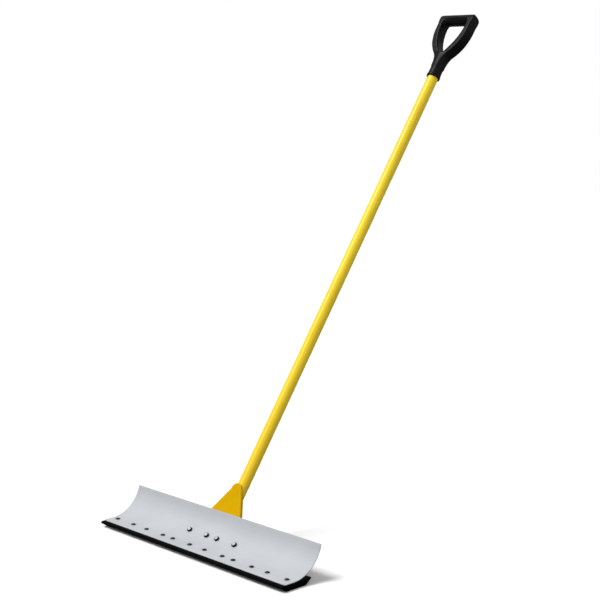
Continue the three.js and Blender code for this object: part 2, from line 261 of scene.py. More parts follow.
class Nodes:
    """Short names for the few node kinds that the materials share."""

    def __init__(self, name):
        self.material = bpy.data.materials.new(name)
        self.material.use_nodes = True
        self.tree = self.material.node_tree
        self.shader = self.tree.nodes["Principled BSDF"]
        self.place = self.add("ShaderNodeTexCoord").outputs["Object"]

    def add(self, kind, **settings):
        """A node: _name sets a property, any other name an input, with __ for a space."""
        node = self.tree.nodes.new(kind)
        for key, value in settings.items():
            if key.startswith("_"):
                setattr(node, key[1:], value)
            else:
                node.inputs[key.replace("__", " ")].default_value = value
        return node

    def link(self, source, target):
        self.tree.links.new(source, target)

    def mapped(self, scale=(1, 1, 1), rotation=(0, 0, 0)):
        node = self.add("ShaderNodeMapping", Scale=scale, Rotation=rotation)
        self.link(self.place, node.inputs["Vector"])
        return node.outputs["Vector"]

    def noise(self, vector, scale, detail=3.0, rough=0.5):
        node = self.add("ShaderNodeTexNoise", Scale=scale, Detail=detail, Roughness=rough)
        self.link(vector, node.inputs["Vector"])
        return node.outputs["Fac"]

    def cells(self, vector, scale):
        node = self.add("ShaderNodeTexVoronoi", Scale=scale)
        self.link(vector, node.inputs["Vector"])
        return node.outputs["Distance"]

    def spread(self, value, low, high, to_low, to_high):
        """A value mapped from low..high to to_low..to_high, and held at both ends."""
        node = self.add("ShaderNodeMapRange", From__Min=low, From__Max=high,
                        To__Min=to_low, To__Max=to_high)
        self.link(value, node.inputs["Value"])
        return node.outputs["Result"]

    def maths(self, operation, a, b):
        node = self.add("ShaderNodeMath", _operation=operation)
        for socket, v in zip(node.inputs, (a, b)):
            if isinstance(v, (int, float)):
                socket.default_value = v
            else:
                self.link(v, socket)
        return node.outputs[0]

    def blend(self, factor, a, b):
        """Colours a and b (tuples or sockets) mixed by factor."""
        node = self.add("ShaderNodeMix", _data_type="RGBA")
        self.link(factor, node.inputs["Factor"])
        for socket, v in zip((node.inputs[6], node.inputs[7]), (a, b)):
            if isinstance(v, tuple):
                socket.default_value = (*v, 1)
            else:
                self.link(v, socket)
        return node.outputs[2]

    def bump(self, height, depth_mm, after=None):
        node = self.add("ShaderNodeBump", Strength=1.0, Distance=depth_mm * MM)
        self.link(height, node.inputs["Height"])
        if after is not None:
            self.link(after, node.inputs["Normal"])
        return node.outputs["Normal"]

    def height(self):
        node = self.add("ShaderNodeSeparateXYZ")
        self.link(self.place, node.inputs[0])
        return node.outputs["Z"]

    def set(self, **values):
        for key, v in values.items():
            self.shader.inputs[key.replace("__", " ")].default_value = v

    def feed(self, **sources):
        for key, v in sources.items():
            self.link(v, self.shader.inputs[key.replace("__", " ")])


HANDLE_TURN = (math.pi / 2 - HANDLE_ANGLE, 0, 0)  # turns the handle's axis onto Z for the textures


def blade_material():
    n = Nodes("blade_sheet")
    n.set(Metallic=0.0, IOR=1.5, Specular__IOR__Level=0.25)
    rolled = n.noise(n.mapped((6, 900, 900)), 1.0, 4.0, 0.6)
    cloud = n.noise(n.mapped(), 14.0, 3.0)
    smear = n.noise(n.mapped((3, 14, 14)), 1.0, 5.0, 0.65)
    base = n.blend(n.spread(cloud, 0.35, 0.65, 0, 1), (0.396, 0.410, 0.432), (0.422, 0.437, 0.461))
    base = n.blend(n.spread(smear, 0.52, 0.75, 0, 0.35), base, (0.48, 0.49, 0.515))
    base = n.blend(n.spread(rolled, 0.3, 0.7, 0, 0.12), base, (0.66, 0.67, 0.69))
    rough = n.maths("ADD", n.spread(rolled, 0.25, 0.75, 0.50, 0.60),
                    n.spread(smear, 0.4, 0.7, 0, 0.07))
    scratch = n.noise(n.mapped((2.5, 1600, 1600), (0, 0.04, 0.03)), 1.0, 2.0)
    normal = n.bump(rolled, 0.015)
    normal = n.bump(n.spread(scratch, 0.68, 0.74, 0, 1), 0.012, normal)
    n.feed(Base__Color=base, Roughness=rough, Normal=normal)
    return n.material


def strip_material():
    n = Nodes("wear_strip_plastic")
    n.set(IOR=1.5, Specular__IOR__Level=0.012)
    saw = n.noise(n.mapped((700, 60, 60), (0, 0, 0.06)), 1.0, 3.0)
    cloud = n.noise(n.mapped(), 60.0, 4.0, 0.6)
    scuff = n.noise(n.mapped((25, 400, 400), (0, 0.1, 0.05)), 1.0, 5.0, 0.7)
    low = n.spread(n.height(), 0.0, 0.005, 1, 0)
    worn = n.maths("MULTIPLY", n.spread(scuff, 0.5, 0.7, 0, 1), n.maths("MAXIMUM", low, 0.12))
    base = n.blend(n.spread(cloud, 0.35, 0.65, 0, 1),
                   (0.0015, 0.0015, 0.002), (0.003, 0.003, 0.0035))
    base = n.blend(n.maths("MULTIPLY", worn, 0.35), base, (0.02, 0.02, 0.0205))
    rough = n.maths("ADD", n.spread(cloud, 0.3, 0.7, 0.50, 0.60), n.maths("MULTIPLY", worn, 0.2))
    normal = n.bump(saw, 0.05)
    normal = n.bump(cloud, 0.06, normal)
    normal = n.bump(worn, 0.08, normal)
    n.feed(Base__Color=base, Roughness=rough, Normal=normal)
    return n.material


def bracket_material():
    n = Nodes("bracket_paint")
    n.set(IOR=1.5, Specular__IOR__Level=0.02)
    peel = n.noise(n.mapped(), 750.0, 2.0)
    cloud = n.noise(n.mapped(), 26.0, 3.0)
    dust = n.noise(n.mapped(), 2600.0, 1.0)
    base = n.blend(n.spread(cloud, 0.3, 0.7, 0, 1), (0.535, 0.305, 0.0004), (0.575, 0.33, 0.0008))
    base = n.blend(n.spread(dust, 0.66, 0.74, 0, 0.35), base, (0.50, 0.27, 0.002))
    normal = n.bump(peel, 0.05)
    n.feed(Base__Color=base, Roughness=n.spread(cloud, 0.3, 0.7, 0.34, 0.44), Normal=normal)
    return n.material


def tube_material():
    n = Nodes("tube_paint")
    n.set(IOR=1.5, Specular__IOR__Level=0.2, Coat__Weight=0.08, Coat__Roughness=0.2)
    place = n.mapped((1, 1, 0.35), HANDLE_TURN)
    peel = n.noise(place, 620.0, 2.0)
    cloud = n.noise(place, 22.0, 3.0)
    drawn = n.noise(n.mapped((420, 420, 5), HANDLE_TURN), 1.0, 3.0)
    speck = n.cells(n.mapped(), 240.0)
    base = n.blend(n.spread(cloud, 0.3, 0.7, 0, 1), (0.84, 0.60, 0.014), (0.90, 0.66, 0.024))
    base = n.blend(n.spread(drawn, 0.6, 0.8, 0, 0.25), base, (0.70, 0.47, 0.015))
    base = n.blend(n.spread(speck, 0.03, 0.08, 0.5, 0), base, (0.45, 0.30, 0.02))
    # painted shade and painted reflection: darker, more orange paint towards the tube's foot stands
    # in for dimmer light and the bracket's ochre reflection there
    foot = n.maths("MULTIPLY", n.spread(n.height(), 0.10, 0.60, 1, 0),
                   n.spread(cloud, 0.3, 0.7, 0.4, 0.6))
    base = n.blend(foot, base, (0.78, 0.47, 0.006))
    normal = n.bump(peel, 0.03)
    normal = n.bump(drawn, 0.02, normal)
    n.feed(Base__Color=base, Roughness=n.spread(cloud, 0.3, 0.7, 0.26, 0.34), Normal=normal)
    return n.material


def zinc_plate(n, light, dark, bright):
    """Base colour of spangled zinc plate, with the two patterns it is made from."""
    spangle = n.cells(n.mapped(), 900.0)
    cloud = n.noise(n.mapped(), 260.0, 4.0, 0.6)
    base = n.blend(n.spread(cloud, 0.3, 0.7, 0, 1), light, dark)
    return n.blend(n.spread(spangle, 0.2, 0.6, 0, 0.3), base, bright), spangle, cloud


def zinc_material(name, light, dark, rough):
    n = Nodes(name)
    n.set(Metallic=1.0)
    base, spangle, cloud = zinc_plate(n, light, dark, light)
    shine = n.maths("ADD", n.spread(cloud, 0.3, 0.7, rough, rough + 0.12),
                    n.spread(spangle, 0, 1, 0, 0.06))
    n.feed(Base__Color=base, Roughness=shine, Normal=n.bump(cloud, 0.02))
    return n.material


def bolt_material():
    """Zinc plate, bright on the flat of the head, with painted shade darkening its flanks."""
    n = Nodes("zinc_bolts")
    n.set(Metallic=1.0)
    axis = Matrix.Rotation(math.radians(BOLT_ARC), 3, "X") @ Vector((0, 0, 1))
    facing = n.add("ShaderNodeVectorMath", _operation="DOT_PRODUCT")
    facing.inputs[1].default_value = axis
    n.link(n.add("ShaderNodeNewGeometry").outputs["Normal"], facing.inputs[0])
    base, _, cloud = zinc_plate(n, (0.74, 0.76, 0.78), (0.60, 0.61, 0.63), (0.80, 0.81, 0.83))
    turned_up = n.maths("ADD", facing.outputs["Value"], n.spread(cloud, 0.2, 0.8, -0.03, 0.03))
    flank, flat = 0.90, 0.985  # cosines between which the painted shade on the flanks gives way to bright zinc
    # painted shade: the head's flanks, turned away from the bolt's axis, are darkened to near-black
    base = n.blend(n.spread(turned_up, flank, flat, 1, 0), base, (0.016, 0.016, 0.018))
    shine = n.maths("ADD", n.spread(cloud, 0.3, 0.7, 0.26, 0.38),
                    n.spread(turned_up, flank, flat, 0.2, 0))
    n.feed(Base__Color=base, Roughness=shine, Normal=n.bump(cloud, 0.02))
    return n.material


def grip_material():
    n = Nodes("grip_plastic")
    n.set(IOR=1.5, Specular__IOR__Level=0.09)
    grain = n.cells(n.mapped(), 1500.0)
    fine = n.noise(n.mapped(), 2400.0, 2.0)
    cloud = n.noise(n.mapped(), 40.0, 4.0, 0.6)
    rub = n.noise(n.mapped((8, 60, 60), HANDLE_TURN), 1.0, 4.0, 0.6)
    base = n.blend(n.spread(cloud, 0.3, 0.7, 0, 1),
                   (0.0025, 0.0025, 0.003), (0.0045, 0.0045, 0.005))
    base = n.blend(n.spread(rub, 0.55, 0.8, 0, 0.4), base, (0.013, 0.013, 0.0135))
    rough = n.maths("ADD", n.spread(cloud, 0.3, 0.7, 0.32, 0.40), n.spread(rub, 0.5, 0.8, 0, -0.06))
    normal = n.bump(grain, 0.05)
    normal = n.bump(fine, 0.03, normal)
    n.feed(Base__Color=base, Roughness=rough, Normal=normal)
    return n.material


BLADE = blade_material()
STRIP = strip_material()
BRACKET = bracket_material()
TUBE = tube_material()
ZINC = zinc_material("zinc_hardware", (0.66, 0.68, 0.70), (0.52, 0.53, 0.55), 0.22)
SCREW = zinc_material("zinc_screws", (0.06, 0.062, 0.066), (0.03, 0.031, 0.033), 0.30)
BOLT = bolt_material()
GRIP = grip_material()


# ---------- blade

def blade():
    """A sheet with soft edges: a flat outline in (x, run) with its holes, bent round the roll."""
    length = LIP_FLAT + ROLL_RADIUS * math.radians(ROLL_ANGLE)

    def bend(x, run, depth):
        if run <= LIP_FLAT:
            return x, LIP_Y + run, LIP_TOP - depth
        degrees = math.degrees((run - LIP_FLAT) / ROLL_RADIUS)
        y, z = on_roll(ROLL_RADIUS + depth, degrees)
        return x, y, z

    half, top_corner = HALF_BLADE, 1.2
    edge_step, row_step, columns = 2.5, 2.8, 62
    corners = rounded([(-half, 0), (half, 0), (half, length), (-half, length)],
                      [LIP_CORNER, LIP_CORNER, top_corner, top_corner], 6)
    outline = []
    for i, p in enumerate(corners):
        q = corners[(i + 1) % len(corners)]
        pieces = max(1, round((q - p).length / edge_step))
        outline += [p.lerp(q, k / pieces) for k in range(pieces)]
    count = len(outline)
    inward = []
    for i in range(count):
        ahead = (outline[(i + 1) % count] - outline[i - 1]).normalized()
        inward.append(Vector((-ahead.y, ahead.x)))

    edge, waist = 0.3, 0.09  # the softened edge's radius, and its inset half-way round
    rings = [(edge, 0), (waist, waist), (0, edge),
             (0, SHEET - edge), (waist, SHEET - waist), (edge, SHEET)]
    points, faces = [], []
    for inset, depth in rings:
        for p, n in zip(outline, inward):
            q = p + n * inset
            points.append(bend(q.x, max(q.y, 0), depth))
    faces += grid_faces(len(rings), count, closed=True)

    bolt_run = LIP_FLAT + ROLL_RADIUS * math.radians(BOLT_ARC)
    holes = [(middle_mm(f"strip_screw_{i}")[0], SCREW_RUN, SCREW_HOLE) for i in SCREWS]
    holes += [(middle_mm(f"bracket_bolt_{i}")[0], bolt_run, BOLT_HOLE) for i in BOLTS]
    sides = 20
    flat = [p + n * edge for p, n in zip(outline, inward)]
    loops = [list(range(count))]
    for x, run, radius in holes:
        loops.append(list(range(len(flat), len(flat) + sides)))
        for k in range(sides):
            a = -2 * math.pi * k / sides
            flat.append(Vector((x + radius * math.cos(a), run + radius * math.sin(a))))
    lines = [(loop[i], loop[(i + 1) % len(loop)]) for loop in loops for i in range(len(loop))]
    rows = int(length / row_step)
    clear = 1.2  # of a hole's edge
    for r in range(1, rows):
        run = length * r / rows
        for c in range(1, columns):
            p = Vector((-half + 2 * half * c / columns, run))
            if all((p - Vector(h[:2])).length > h[2] + clear for h in holes):
                flat.append(p)
    verts, _, tris, *_ = delaunay_2d_cdt(flat, lines, [], 0, 1e-5)
    kept = []  # without the triangles in the holes, outside the outline, or thinner than a sliver
    sliver, slack = 0.02, 0.01
    for tri in tris:
        middle = sum((verts[i] for i in tri), Vector((0, 0))) / 3
        if any((middle - Vector(h[:2])).length < h[2] * 0.97 for h in holes):
            continue
        a, b, c = (verts[i] for i in tri)
        if abs((b - a).cross(c - a)) < sliver:
            continue
        inside = (edge - slack <= middle.y <= length - edge + slack
                  and abs(middle.x) <= half - edge + slack)
        corner = max(abs(middle.x) - (half - LIP_CORNER), 0), max(LIP_CORNER - middle.y, 0)
        if inside and math.hypot(*corner) < LIP_CORNER + 1:
            kept.append(tri)
    for depth in (0, SHEET):
        start = len(points)
        points += [bend(v.x, max(v.y, 0), depth) for v in verts]
        faces += [tuple(start + i for i in (tri if depth == 0 else tri[::-1])) for tri in kept]
    for x, run, radius in holes:
        start = len(points)
        for depth in (0, SHEET):
            for k in range(sides):
                a = -2 * math.pi * k / sides
                points.append(bend(x + radius * math.cos(a), run + radius * math.sin(a), depth))
        faces += [tuple(start + i for i in f) for f in grid_faces(2, sides, closed=True)]
    return new_piece("blade_sheet", points, faces, BLADE, ["blade"], sharp=40)


blade()


# ---------- wear strip

def wear_strip():
    """Bevelled below, rounded along its front upper edge, and unevenly worn where it slides."""
    half = strip_high.y
    top = strip_high.z
    bevel, back_edge, worn_back, worn_down = 16, 1.5, 3, 4
    corners = [(bevel - half, 0), (half - bevel, 0), (half, top - back_edge), (half, top),
               (worn_back - half, top), (-half, top - worn_down)]
    outline = rounded(corners, [2.2, 2.2, 0.7, 0.5, 2.0, 2.0], 4)
    stations = [(-HALF_BLADE, 0.7), (-HALF_BLADE + 0.2, 0.3), (-HALF_BLADE + 0.7, 0)]
    middle = 120
    for i in range(1, middle):
        stations.append((-HALF_BLADE + 2 * HALF_BLADE * i / middle, 0))
    stations += [(-x, inset) for x, inset in stations[:3][::-1]]

    def wear(x, p):
        long_waves = 0.18 * math.sin(x * 0.19) * math.sin(x * 0.053 + 1)
        depth = long_waves + 0.12 * math.sin(x * 0.71)
        share = smoothstep(4, 0, p.y) * smoothstep(half - 22, half - 15, abs(p.x))
        return Vector((math.copysign(min(0, -abs(depth)), p.x), abs(depth) * 0.5)) * share

    points, faces = swept_x(outline, stations, wear)
    return new_piece("wear_strip_body", points, faces, STRIP,
                     ["wear_strip"], sharp=50)


wear_strip()


# ---------- fasteners

def cross_recess(u, v, width, reach):
    """How deep a point lies in a cross recess, 0 to 1.

    width and reach say where a slot's wall starts and where it is down, across and along it.
    """
    def slot(across, along):
        return smoothstep(*width, abs(across)) * smoothstep(*reach, abs(along))

    return max(slot(u, v), slot(v, u))


def strip_screw(number):
    """Truss head with a cross recess."""
    low, high = box_mm(f"strip_screw_{number}")
    x, y = middle_mm(f"strip_screw_{number}")
    seat, radius = LIP_TOP + GAP, (high.x - low.x) / 2
    shank, rim, rise, recess = 2.1, 0.2, 2.8, 1.5
    turn = number * 1.9  # no two recesses lie the same way
    rings, sides = 16, 48
    points = [(0, 0, low.z)]
    faces = []
    for r, z in ((shank, low.z), (shank, seat), (radius - 0.25, seat), (radius, seat + rim)):
        start = len(points)
        points += circle(r, z, sides)
        if start == 1:
            faces += [(0, 1 + (i + 1) % sides, 1 + i) for i in range(sides)]
        else:
            faces += ring_faces(start, sides)
    for k in range(rings):
        share = 1 - (k + 1) / (rings + 0.5)
        r = radius * math.sin(share * math.pi / 2)
        z = seat + rim + (rise - rim) * math.sqrt(max(0, 1 - (r / radius) ** 2)) ** 0.9
        start = len(points)
        for px, py, _ in circle(r, z, sides):
            u = px * math.cos(turn) + py * math.sin(turn)
            v = py * math.cos(turn) - px * math.sin(turn)
            depth = recess * cross_recess(u, v, (0.75, 0.35), (2.6, 2.1))
            points.append((px, py, z - depth))
        faces += ring_faces(start, sides)
    close_ring(points, faces, sides, (0, 0, seat + rise - recess))
    moved = placed(points, Matrix.Translation((x, y, 0)))
    return new_piece(f"screw_{number}", moved, faces, SCREW,
                     [f"strip_screw_{number}"], sharp=40)


def hex_block(across, low, high, chamfer, bottom=False, bore=None, flat=0.95, sides=48):
    """A hexagonal prism, its corners turned down to a cone at the top, and at the bottom if asked.

    flat is the round face's share of the width across flats; bore is a hole's radius.
    """
    corner = across / 2 / math.cos(math.pi / 6)
    face = across / 2 * flat
    steps, mouth, lead = 4, 0.5, 0.4  # over the chamfer; the bore's countersink, out and down

    def ring(height, limit):
        """The hexagon at one height, cut off at a radius of limit."""
        line = []
        for i in range(sides):
            a = 2 * math.pi * i / sides
            part = (a + math.pi / 6) % (math.pi / 3) - math.pi / 6
            r = min(across / 2 / math.cos(part), limit)
            line.append((r * math.cos(a), r * math.sin(a), height))
        return line

    def end(height, sign):
        """Rings from the prism's side over the chamfer to the round face."""
        found = []
        for k in range(steps + 1):
            t = k / steps
            found.append(ring(height - sign * chamfer * (1 - t), corner + (face - corner) * t))
        return found

    rings = end(low, -1)[::-1] if bottom else [ring(low, corner)]
    rings += end(high, 1)
    points = [p for line in rings for p in line]
    faces = grid_faces(len(rings), sides, closed=True)
    last, start = (len(rings) - 1) * sides, len(points)
    if bore:
        wide = bore + mouth
        for r, h in ((wide, low), (bore, low + lead), (bore, high - lead), (wide, high)):
            points += circle(r, h, sides)
        faces += [tuple(start + k for k in f[::-1]) for f in grid_faces(4, sides, closed=True)]
        for i in range(sides):
            j = (i + 1) % sides
            faces.append((start + i, start + j, j, i))
            faces.append((start + 3 * sides + j, start + 3 * sides + i, last + i, last + j))
    else:
        points += [(0, 0, low), (0, 0, high)]
        faces += [(start, (i + 1) % sides, i) for i in range(sides)]
        faces += [(last + i, last + (i + 1) % sides, start + 1) for i in range(sides)]
    return points, faces


# Heights along a bolt's axis, from the blade's hollow face.
HEAD_SEAT = GAP + (BOLT_HEX / 2) ** 2 / (2 * ROLL_RADIUS) + 0.1
BOLT_HEAD = 4.3
WASHER_TOP = -(SHEET + GAP + PLATE + GAP)
WASHER = 1.2
NUT_TOP = WASHER_TOP - WASHER - GAP
NUT = 5.5
BOLT_TIP = NUT_TOP - NUT - 1.5


def thread(radius, low, high, pitch, depth, sides=24):
    """A threaded rod: the radius follows a helical ridge, and narrows towards its lower tip."""
    per_turn, tip, tip_length = 6, 0.86, 0.8
    rows = int((high - low) / pitch * per_turn) + 1
    points = []
    for r in range(rows + 1):
        z = low + (high - low) * r / rows
        full = smoothstep(0, tip_length, z - low)
        for i in range(sides):
            phase = (z / pitch - i / sides) % 1
            ridge = abs(phase * 2 - 1)
            at = (radius - depth * (1 - ridge)) * (tip + (1 - tip) * full)
            a = 2 * math.pi * i / sides
            points.append((at * math.cos(a), at * math.sin(a), z))
    faces = grid_faces(rows + 1, sides, closed=True)
    faces.append(tuple(range(sides))[::-1])
    faces.append(tuple(range(rows * sides, (rows + 1) * sides)))
    return points, faces


def joined(*parts):
    points, faces = [], []
    for p, f in parts:
        faces += [tuple(len(points) + i for i in face) for face in f]
        points += list(p)
    return points, faces


def bolt_stack(number):
    """A bolt through the blade and the bracket, with its washer and nut behind them."""
    x = middle_mm(f"bracket_bolt_{number}")[0]
    y, z = on_roll(ROLL_RADIUS, BOLT_ARC)
    seat = Matrix.Translation((x, y, z)) @ Matrix.Rotation(math.radians(BOLT_ARC), 4, "X")
    turn = Matrix.Rotation(number * 0.37, 4, "Z")
    head = hex_block(BOLT_HEX, HEAD_SEAT + 0.5, HEAD_SEAT + BOLT_HEAD, chamfer=1.3, flat=0.74)
    rim, collar_top = 5.3, HEAD_SEAT + 0.6
    collar = turned([(0, HEAD_SEAT), (rim - 0.1, HEAD_SEAT), (rim, HEAD_SEAT + 0.1),
                     (rim, collar_top), (0, collar_top)], 40)
    shank = thread(BOLT_RADIUS, BOLT_TIP, HEAD_SEAT + 0.3, pitch=1.27, depth=0.4)
    points, faces = joined(head, collar, shank)
    new_piece(f"bolt_{number}", placed(points, seat @ turn), faces, BOLT,
              [f"bracket_bolt_{number}"], sharp=28)
    inner, rim = BOLT_RADIUS + 0.4, 8.0
    low_face, high_face = WASHER_TOP - WASHER, WASHER_TOP
    profile = [(inner, low_face + 0.1), (inner + 0.1, low_face), (rim - 0.3, low_face),
               (rim, low_face + 0.3), (rim, high_face - 0.15), (rim - 0.15, high_face),
               (inner + 0.1, high_face), (inner, high_face - 0.1), (inner, low_face + 0.1)]
    points, faces = turned(profile, 48)
    new_piece(f"washer_{number}", placed(points, seat), faces, ZINC,
              [f"bracket_washer_{number}"], sharp=28)
    points, faces = hex_block(BOLT_HEX, NUT_TOP - NUT, NUT_TOP, chamfer=0.8, bottom=True,
                              bore=BOLT_RADIUS + 0.15)
    spin = Matrix.Rotation(number * 0.81 + 0.2, 4, "Z")
    new_piece(f"nut_{number}", placed(points, seat @ spin), faces, ZINC,
              [f"bracket_nut_{number}"], sharp=28)


for k in SCREWS:
    strip_screw(k)
for k in BOLTS:
    bolt_stack(k)


# ---------- bracket

def along_handle(y, z):
    return (HANDLE_FRAME.inverted() @ Vector((0, y, z))).z


def bracket_front(run):
    """The bracket's front face at run, which is 0 at the top edge and grows downwards.

    Returns the point and its outward normal in (y, z), its place along the handle, and its arc on
    the roll in degrees, or None on the straight part.
    """
    roll_centre = HANDLE_FRAME.inverted() @ Vector((0, ROLL_Y, ROLL_Z))
    in_front_of_centre = PLATE_FRONT + roll_centre.y
    turn = math.acos(-in_front_of_centre / BRACKET_RADIUS)
    bend_arc = math.degrees(HANDLE_ANGLE) + math.degrees(turn)
    straight = BRACKET_TOP - along_handle(*on_roll(BRACKET_RADIUS, bend_arc))
    if run <= straight:
        p = on_handle(0, -PLATE_FRONT, BRACKET_TOP - run)
        return Vector((p.y, p.z)), Vector((-REAR.y, -REAR.z)), BRACKET_TOP - run, None
    arc = bend_arc - math.degrees((run - straight) / BRACKET_RADIUS)
    y, z = on_roll(BRACKET_RADIUS, arc)
    a = math.radians(arc)
    return Vector((y, z)), Vector((-math.sin(a), math.cos(a))), along_handle(y, z), arc


def above_foot(arc):
    """Run from an arc on the roll down to the bracket's foot."""
    return (arc - FOOT_ARC) * math.radians(1) * BRACKET_RADIUS


def corner_cut(radius, distance):
    """How far a rounded corner pulls the side in, at a distance from the edge it runs into."""
    if distance >= radius:
        return 0.0
    return radius - math.sqrt(max(0, radius ** 2 - (radius - distance) ** 2))


def bracket():
    """A triangular plate whose sloping sides are folded back, on a foot that follows the roll."""
    top_half, flare_from, flare, widest = 12.8, 148, 0.55, 88.0
    top_corner, foot_corner = 7, 6
    fold, bend = 9.0, 4.0  # the folded sides' depth, and the fold's radius on its outside
    runs, run = [], 0.0
    while True:
        _, _, _, arc = bracket_front(run)
        if arc is not None and arc <= FOOT_ARC:
            break
        runs.append(run)
        run += 0.5 if run < 8 else 2.0
    runs.append(runs[-1] + above_foot(bracket_front(runs[-1])[3]))
    rows = []
    for run in runs:
        p, normal, along, arc = bracket_front(run)
        half = min(widest, top_half + (flare_from - along) * flare) - corner_cut(top_corner, run)
        depth = fold * smoothstep(9, 26, run)
        if arc is not None:
            half -= corner_cut(foot_corner, above_foot(arc))
            depth *= smoothstep(38, 50, arc)
        if depth >= bend:
            angle, straight = math.pi / 2, depth - bend
        else:
            angle, straight = math.acos(1 - depth / bend), 0.0
        inner = half - bend * math.sin(angle)
        side = []
        for k in range(3):
            side.append((half, bend * (1 - math.cos(angle)) + straight * (1 - k / 3)))
        for k in range(7):
            a = angle * (1 - k / 6)
            side.append((inner + bend * math.sin(a), bend * (1 - math.cos(a))))
        for k in range(1, 10):
            side.append((inner * (1 - k / 9), 0))
        line = [(-x, d) for x, d in side] + side[-2::-1]
        rows.append([(x, *(p - normal * d)) for x, d in line])
    columns = len(rows[0])
    points = [q for row in rows for q in row]
    faces = grid_faces(len(rows), columns)
    piece = new_piece("bracket_plate", points, faces, BRACKET, ["handle_bracket"],
                      sharp=0, closed=False)
    middle = piece.data.polygons[len(piece.data.polygons) // 2]
    if middle.normal.y > 0:
        piece.data.flip_normals()
    solid = piece.modifiers.new("thickness", "SOLIDIFY")
    solid.thickness = (PLATE - 0.05) * MM
    solid.offset = -1
    solid.use_even_offset = True
    soft = piece.modifiers.new("edges", "BEVEL")
    soft.width = 0.45 * MM
    soft.segments = 3
    soft.limit_method = "ANGLE"
    soft.angle_limit = math.radians(50)
    return piece


bracket()


def weld_bead(name, node, side):
    """A fillet between the tube's side and the plate, laid down in overlapping scallops."""
    start, end, steps = 88.0, 132.0, 110
    scallop, dip, end_radius = 2.6, 0.10, 2.5
    clear = TUBE_RADIUS + GAP
    plate = -(PLATE_FRONT - PLATE - GAP)
    outline = []
    low, high = math.asin(6 / clear), math.radians(46)
    for k in range(7):
        a = low + (high - low) * k / 6
        outline.append((clear * math.sin(a), -clear * math.cos(a)))
    outline += [(11.3, -10.3), (12.1, -11.7), (12.0, -13.0),
                (11.6, plate), (9.5, plate), (7.5, plate)]
    centre = (9.3, -12.4)
    points = []
    for s in range(steps + 1):
        w = start + (end - start) * s / steps
        ends = math.sqrt(max(0.02, min(1, min(w - start, end - w) / end_radius)))
        ripple = 1 - dip * abs(math.sin(math.pi * w / scallop)) * ends
        for i, (x, v) in enumerate(outline):
            outer = 1.0 if 6 <= i <= 10 else 0.0
            scale = ends * (ripple if outer else 1)
            lag = 0.9 if i in (6, 10) else 0.3 if i in (7, 9) else 0
            px = centre[0] + (x - centre[0]) * scale
            pv = centre[1] + (v - centre[1]) * scale
            points.append(on_handle(side * px, pv, w - lag * outer))
    count = len(outline)
    faces = grid_faces(steps + 1, count, closed=True)
    faces += [tuple(range(count)), tuple(range(steps * count, (steps + 1) * count))]
    return new_piece(name, points, faces, BRACKET, [node], sharp=60)


weld_bead("weld_left", "weld_bead_left", -1)
weld_bead("weld_right", "weld_bead_right", 1)


# ---------- tube, end plug, grip screw

def tube():
    """A hollow tube in many short spans, its ends' outer edges broken."""
    bore = TUBE_RADIUS - 1.5
    profile = [(bore, TUBE_START + 0.3), (bore + 0.3, TUBE_START), (TUBE_RADIUS - 0.4, TUBE_START),
               (TUBE_RADIUS, TUBE_START + 0.4)]
    spans = 60
    for k in range(1, spans):
        profile.append((TUBE_RADIUS, TUBE_START + (TUBE_END - TUBE_START) * k / spans))
    profile += [(TUBE_RADIUS, TUBE_END - 0.4), (TUBE_RADIUS - 0.4, TUBE_END), (bore, TUBE_END),
                (bore, TUBE_START + 0.3)]
    points, faces = turned(profile, 96)
    return new_piece("tube", placed(points, HANDLE_FRAME), faces, TUBE,
                     ["handle_tube"], sharp=50)


def end_plug():
    """A rounded cap on the tube's lower end, with a ribbed stem inside it."""
    rim, stem, seat = TUBE_RADIUS - GAP, TUBE_RADIUS - 1.8, TUBE_START - GAP
    low = seat - 2.4
    profile = [(0, low + 0.7), (5, low + 0.7), (6, low + 0.1), (7, low)]
    for k in range(5):
        a = math.pi / 2 * k / 4
        profile.append((rim - 1.2 + 1.2 * math.sin(a), low + 1.2 - 1.2 * math.cos(a)))
    profile += [(rim, seat - 0.2), (rim - 0.2, seat), (stem, seat)]
    for k in range(4):
        at = seat + 2 + 3 * k
        profile += [(stem, at), (stem - 0.5, at + 0.4), (stem - 0.5, at + 1.4), (stem, at + 1.8)]
    profile += [(stem - 0.8, seat + 14), (0, seat + 14)]
    points, faces = turned(profile, 64)
    return new_piece("end_plug", placed(points, HANDLE_FRAME), faces, STRIP,
                     ["tube_end_plug"], sharp=45)


def grip_screw():
    """Pan head with a cross recess, on the rear of the socket."""
    seat = SOCKET_RADIUS + GAP
    shank, tip, radius, edge, rise, recess = 1.75, 8, 4.0, 0.9, 2.6, 1.2
    rings, sides = 10, 40
    points, faces = turned([(0, tip), (shank, tip), (shank, seat), (radius - 0.2, seat),
                            (radius, seat + 0.2), (radius, seat + edge)], sides)
    for k in range(1, rings + 1):
        r = radius * (1 - (k / (rings + 0.5)) ** 1.15)
        z = seat + edge + (rise - edge) * (1 - (r / radius) ** 3.2) ** 0.8
        start = len(points)
        for u, v, _ in circle(r, z, sides):
            points.append((u, v, z - recess * cross_recess(u, v, (0.6, 0.3), (2.1, 1.7))))
        faces += ring_faces(start, sides)
    close_ring(points, faces, sides, (0, 0, seat + rise - recess))
    at = Matrix.Translation((0, 0, GRIP_SCREW_AT)) @ Matrix.Rotation(-math.pi / 2, 4, "X")
    return new_piece("grip_screw_head", placed(points, HANDLE_FRAME @ at), faces, ZINC,
                     ["grip_screw"], sharp=40)


tube()
end_plug()
grip_screw()


# ---------- D-grip, from a distance field

def spline(controls, steps=8):
    """Catmull-Rom curve through the control points."""
    c = [np.array(p, float) for p in controls]
    c = [2 * c[0] - c[1], *c, 2 * c[-1] - c[-2]]
    line = []
    for a, b, d, e in zip(c, c[1:], c[2:], c[3:]):
        for k in range(steps):
            t = k / steps
            line.append(0.5 * ((2 * b) + (d - a) * t + (2 * a - 5 * b + 4 * d - e) * t ** 2
                               + (3 * b - a - 3 * d + e) * t ** 3))
    line.append(c[-2])
    return np.array(line)


